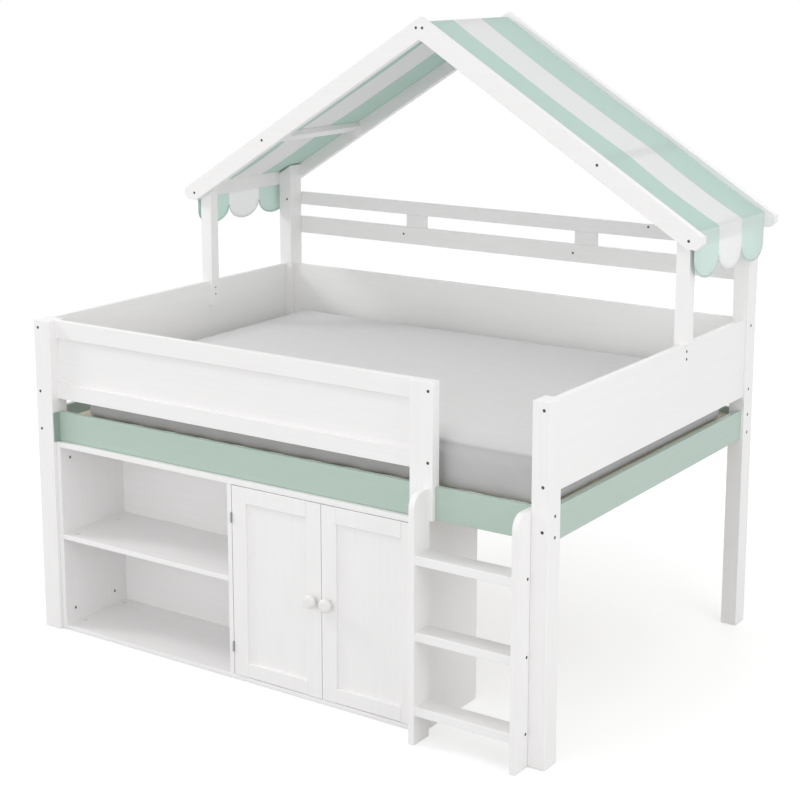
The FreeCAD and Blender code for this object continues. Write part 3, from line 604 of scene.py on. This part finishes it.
# Columns follow the stripes, each with its y and its place in its scallop from -1 to 1.
lobe_steps = 24
hem_reach = 0.0008
columns = []
for lobe in range(scallop_count):
    for step in range(lobe_steps if lobe < scallop_count - 1 else lobe_steps + 1):
        lobe_place = math.sin(-math.pi / 2 + math.pi * step / lobe_steps)
        columns.append((canopy_low.y + stripe_width * (lobe + 0.5 + 0.5 * lobe_place), lobe_place))
columns[0] = (canopy_low.y - hem_reach, columns[0][1])
columns[-1] = (canopy_high.y + hem_reach, columns[-1][1])

# Rows run along the ridge, closer together over its bend.
slope_start, slope_count, valance_count = 0.012, 70, 18
slope_stretch = fold_x - fold_radius - slope_start
slope_steps = [0.0, 0.002, 0.006]
slope_steps += [slope_start + slope_stretch * step / slope_count for step in range(slope_count + 1)]
fold_z = cloth_line(fold_x - fold_radius) - fold_radius * fold_share
valance_drop = fold_z - canopy_low.z
cloth_wave, valley_depth, valley_width = 0.0016, 0.0007, 0.004


def slope_place(side, x, y, lobe_place):
    """A point of the cloth on one slope, with its sag, its faint waves and its seams' shallow valleys."""
    slack = slack_at(x)
    across = (y - canopy_low.y) / cut_width
    to_seam = (1 - abs(lobe_place)) * stripe_width / 2
    drop = cloth_sag * slack * (hem_sag_share + (1 - hem_sag_share) * math.sin(math.pi * across))
    drop += cloth_wave * slack * noise.noise(Vector((side * x * 4.0, y * 9.0, 1.7)))
    drop += valley_depth * math.exp(-(to_seam / valley_width) ** 2) * min(1.0, slack * 4)
    return (x - slope_sin * drop) * side, y, cloth_line(x) - slope_cos * drop


def scallop_edge(lobe_place):
    """Height of a scallop's edge at one place across it."""
    return canopy_low.z + scallop_drop * (1 - math.sqrt(max(0.0, 1 - lobe_place ** 2)))


def valance_place(side, y, lobe_place, z):
    """A point of the valance, which swells a little in each scallop and curls towards its edge."""
    most_inward = -0.0005
    deep = (fold_z - z) / valance_drop
    swell = scallop_bulge * (1 - lobe_place ** 2) * math.sin(math.pi * min(1.0, deep * bulge_turn))
    curl = cloth_wave * noise.noise(Vector((side * 2.3, y * 11.0, z * 9.0))) * deep
    return (fold_x + swell + max(curl, most_inward)) * side, y, z


def half_rows(side):
    """Rows of points from the ridge down to one side's scallops, each with its length from the ridge."""
    rows = []
    for x in slope_steps:
        rows.append(([slope_place(side, x, y, lobe_place) for y, lobe_place in columns], x / slope_cos))
    for step in range(valance_count + 1):
        share = step / valance_count
        row = []
        for y, lobe_place in columns:
            z = fold_z - share * (fold_z - scallop_edge(lobe_place))
            row.append(valance_place(side, y, lobe_place, z))
        rows.append((row, (fold_x - fold_radius) / slope_cos + fold_radius + share * valance_drop))
    return rows


right_rows, left_rows = half_rows(1), half_rows(-1)
rows = [(row, -length) for row, length in reversed(left_rows[1:])] + right_rows
vertices = [point for row, length in rows for point in row]
lengths = [length for row, length in rows for point in row]
count = len(columns)
faces = [(r * count + c, r * count + c + 1, (r + 1) * count + c + 1, (r + 1) * count + c)
         for r in range(len(rows) - 1) for c in range(count - 1)]
canopy_mesh = bpy.data.meshes.new("striped_canopy")
canopy_mesh.from_pydata(vertices, [], faces)
cloth_map = canopy_mesh.uv_layers.new(name="cloth")
for loop in canopy_mesh.loops:
    cloth_map.data[loop.index].uv = (vertices[loop.vertex_index][1], lengths[loop.vertex_index])
canopy_mesh.shade_smooth()


def striped(tree, place, white_stripe, green_stripe):
    """A white stripe between two green ones."""
    parts = add_node(tree, "ShaderNodeSeparateXYZ", {0: place})
    middle = (canopy_low.y + canopy_high.y) / 2
    from_middle = reckon(tree, "ABSOLUTE", reckon(tree, "SUBTRACT", parts.outputs["Y"], middle))
    on_green = reckon(tree, "GREATER_THAN", from_middle, stripe_width / 2)
    return mixed(tree, on_green, white_stripe, green_stripe)


def lets_light_through(shader):
    """Thin cotton glows a little with the light on its other side."""
    shader.inputs["Sheen Weight"].default_value = 0.1
    shader.inputs["Subsurface Weight"].default_value = 0.9
    shader.inputs["Subsurface Radius"].default_value = (1.0, 1.0, 1.0)
    shader.inputs["Subsurface Scale"].default_value = 0.0045


canopy_cloth, tree, shader, place = new_material("striped_canopy_cloth")
cloth = add_node(tree, "ShaderNodeUVMap", uv_map="cloth").outputs["UV"]
from_ridge = reckon(tree, "ABSOLUTE", add_node(tree, "ShaderNodeSeparateXYZ", {0: cloth}).outputs["Y"])
fold_blend = 0.004
hanging = add_node(tree, "ShaderNodeMapRange", {0: from_ridge, 1: slope_length - fold_blend,
                                                2: slope_length + fold_blend})
# One cloth in two tones: the slope is painted darker as painted shade, the hanging valance paler as painted
# light.
laid_painted_shade_colour = striped(tree, place, tone(229, 230, 230), tone(183, 208, 199))
hung_painted_light_colour = striped(tree, place, tone(247, 248, 248), tone(207, 228, 220))
cloth_colour_with_painted_light = mixed(tree, hanging.outputs[0], laid_painted_shade_colour, hung_painted_light_colour)
woven(tree, shader, cloth, cloth_colour_with_painted_light, threads=480.0, depth=0.12, relief=0.3)
lets_light_through(shader)
canopy = new_piece("striped_canopy", canopy_mesh, canopy_cloth, "bed_frame")
wall = canopy.modifiers.new("thickness", "SOLIDIFY")
wall.thickness = cloth_thickness
wall.offset = 0.0
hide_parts("roof_canopy")


def lobe_line(side, lobe, inset):
    """Points along one scallop, from valley to valley, at an even inset from its edge."""
    middle = canopy_low.y + stripe_width * (lobe + 0.5)
    reach = 1 - inset / (stripe_width / 2)
    points = []
    for step in range(lobe_steps + 1):
        swing = -math.pi / 2 + math.pi * step / lobe_steps
        lobe_place = math.sin(swing) * reach
        level = canopy_low.z + scallop_drop * (1 - math.cos(swing)) + inset * math.cos(swing)
        points.append(Vector(valance_place(side, middle + lobe_place * stripe_width / 2, lobe_place, level)))
    return points


def tape_mesh(name, lines, half_width, half_thickness):
    """A flat tape folded round an edge, along each of several lines on the valances."""
    sides = 8
    points, faces = [], []
    for line in lines:
        first = len(points)
        for index, place in enumerate(line):
            along = line[min(index + 1, len(line) - 1)] - line[max(index - 1, 0)]
            along = Vector((0.0, along.y, along.z)).normalized()
            inward = Vector((0.0, -along.z, along.y))
            for turn in range(sides):
                angle = math.tau * turn / sides
                points.append(place + inward * (half_width * math.cos(angle) + half_width)
                              + Vector((half_thickness * math.sin(angle), 0.0, 0.0)))
        for start in range(first, len(points) - sides, sides):
            for turn in range(sides):
                after = (turn + 1) % sides
                faces.append((start + turn, start + after, start + sides + after, start + sides + turn))
        faces.append(tuple(range(first, first + sides)))
        faces.append(tuple(reversed(range(len(points) - sides, len(points)))))
    mesh = bpy.data.meshes.new(name)
    mesh.from_pydata(points, [], faces)
    tidy = bmesh.new()
    tidy.from_mesh(mesh)
    bmesh.ops.recalc_face_normals(tidy, faces=tidy.faces)
    tidy.to_mesh(mesh)
    tidy.free()
    mesh.shade_smooth()
    return mesh


def make_stitches():
    """Short threads laid end to end along lines."""
    thread_sides = 6
    inputs = (("Pitch", "Float"), ("Length", "Float"), ("Thread", "Float"), ("Material", "Material"))
    group, enter, leave = new_shaping("stitches", inputs)
    line = add_node(group, "GeometryNodeMeshToCurve", {"Mesh": enter.outputs["Geometry"]})
    marks = add_node(group, "GeometryNodeResampleCurve", {"Curve": line.outputs[0],
                                                          "Length": enter.outputs["Pitch"]}, mode="LENGTH")
    thread = add_node(group, "GeometryNodeMeshCylinder", {"Vertices": thread_sides,
                                                          "Radius": enter.outputs["Thread"],
                                                          "Depth": enter.outputs["Length"]})
    path = add_node(group, "GeometryNodeInputTangent")
    turn = add_node(group, "FunctionNodeAlignRotationToVector", {"Vector": path.outputs[0]}, axis="Z")
    sewn = add_node(group, "GeometryNodeInstanceOnPoints", {"Points": marks.outputs[0],
                                                            "Instance": thread.outputs[0],
                                                            "Rotation": turn.outputs[0]})
    return close_shaping(group, enter, leave, sewn.outputs[0])


binding_cloth, tree, shader, place = new_material("scallop_binding")
binding_colour = striped(tree, place, tone(236, 238, 237), tone(194, 217, 208))
woven(tree, shader, place, binding_colour, threads=480.0, depth=0.16, relief=0.3)
lets_light_through(shader)
lobes = [(side, lobe) for side in (1, -1) for lobe in range(scallop_count)]
edge_lines = [lobe_line(side, lobe, 0.0) for side, lobe in lobes]
binding_mesh = tape_mesh("scallop_binding", edge_lines, half_width=0.004, half_thickness=0.0017)
binding = new_piece("scallop_binding", binding_mesh, binding_cloth, "bed_frame")

thread_cloth, tree, shader, place = new_material("canopy_thread")
shader.inputs["Base Color"].default_value = tone(236, 238, 237)
shader.inputs["Roughness"].default_value = 0.75
thread_lift = 0.0011
seam_inset = 0.012
hem_shares = (0.016, 0.984)
bare_rows = 4


def hem_line(side, rows, share):
    """Points along one hem of a slope, just above the cloth, at a share of its width."""
    y = canopy_low.y + share * cut_width
    near = next(c for c in range(count - 1) if columns[c][0] <= y <= columns[c + 1][0])
    part = (y - columns[near][0]) / (columns[near + 1][0] - columns[near][0])
    lift = Vector((side * slope_sin, 0.0, slope_cos)) * thread_lift
    return [Vector(row[near]).lerp(Vector(row[near + 1]), part) + lift for row, length in rows]


seams = []
for side, lobe in lobes:
    seams.append([place + Vector((side * thread_lift, 0, 0)) for place in lobe_line(side, lobe, seam_inset)])
for side, rows in ((1, right_rows), (-1, left_rows)):
    for share in hem_shares:
        seams.append(hem_line(side, rows[bare_rows:len(slope_steps) - 1], share))
points = [place for line in seams for place in line]
edges, first = [], 0
for line in seams:
    edges += [(first + step, first + step + 1) for step in range(len(line) - 1)]
    first += len(line)
stitch_sizes = {"Pitch": 0.0052, "Length": 0.0036, "Thread": 0.0004, "Material": thread_cloth}
stitch_mesh = shaped_mesh("canopy_stitches", points, edges, make_stitches(), stitch_sizes)
stitches = new_piece("canopy_stitches", stitch_mesh, thread_cloth, "bed_frame")


# Floor, light and camera
# A white studio: a pale floor that keeps the bed's soft shadow, even light from all round, a lamp high at
# the front left, and softboxes in front, at the right and behind. The camera has the photograph's angle.

def seen_directly(tree):
    """1 for what the camera, a gloss or glass shows, and 0 for what lights the bed."""
    path = add_node(tree, "ShaderNodeLightPath")
    seen = reckon(tree, "MAXIMUM", path.outputs["Is Camera Ray"], path.outputs["Is Glossy Ray"])
    return reckon(tree, "MAXIMUM", seen, path.outputs["Is Transmission Ray"])


floor_reach = 30.0
floor_drop = 0.0015
floor_glow = 0.50
floor_mesh = bpy.data.meshes.new("studio_floor")
floor_corners = [(-floor_reach, -floor_reach, 0), (floor_reach, -floor_reach, 0),
                 (floor_reach, floor_reach, 0), (-floor_reach, floor_reach, 0)]
floor_mesh.from_pydata(floor_corners, [], [(0, 1, 2, 3)])
floor = placed("studio_floor", floor_mesh)
floor.location.z = -floor_drop
floor_paint, tree, shader, place = new_material("studio_floor")
shader.inputs["Base Color"].default_value = (0.6, 0.6, 0.6, 1.0)
shader.inputs["Roughness"].default_value = 0.9
shader.inputs["Specular IOR Level"].default_value = 0.0
shader.inputs["Emission Color"].default_value = (1.0, 1.0, 1.0, 1.0)
glow = reckon(tree, "MULTIPLY", seen_directly(tree), floor_glow)
tree.links.new(glow, shader.inputs["Emission Strength"])
floor_mesh.materials.append(floor_paint)

sky_level = 0.84
world = bpy.data.worlds.new("studio")
bpy.context.scene.world = world
world.use_nodes = True
sky = world.node_tree
light = sky.nodes["Background"]
light.inputs["Color"].default_value = (1.0, 1.0, 1.0, 1.0)
brightness = reckon(sky, "MULTIPLY_ADD", seen_directly(sky), 1 - sky_level, sky_level)
sky.links.new(brightness, light.inputs["Strength"])

lit_place = Vector((0.0, 0.0, 0.9))
lamps = (("left_lamp", (-5.4, -2.2, 4.4), 1.5, 95.0), ("front_softbox", (0.6, -6.5, 1.7), 4.0, 52.0),
         ("right_softbox", (5.6, -1.5, 2.4), 4.0, 64.0), ("rear_softbox", (-0.6, 6.5, 2.2), 4.0, 50.0))
for label, place, size, power in lamps:
    lamp = bpy.data.lights.new(label, "AREA")
    lamp.shape = "DISK"
    lamp.size = size
    lamp.energy = power
    stand = placed(label, lamp)
    stand.location = place
    stand.rotation_euler = (lit_place - Vector(place)).to_track_quat("-Z", "Y").to_euler()

camera_dip, camera_turn = 11.28, 34.24
camera = bpy.data.cameras.new("camera")
camera.sensor_width = 36.0
camera.lens = 78.63
camera.shift_y = -0.12
eye = placed("camera", camera)
eye.location = (3.394, -4.9405, 2.379)
eye.rotation_euler = (math.radians(90.0 - camera_dip), 0.0, math.radians(camera_turn))
bpy.context.scene.camera = eye
bpy.context.scene.view_settings.view_transform = "Standard"
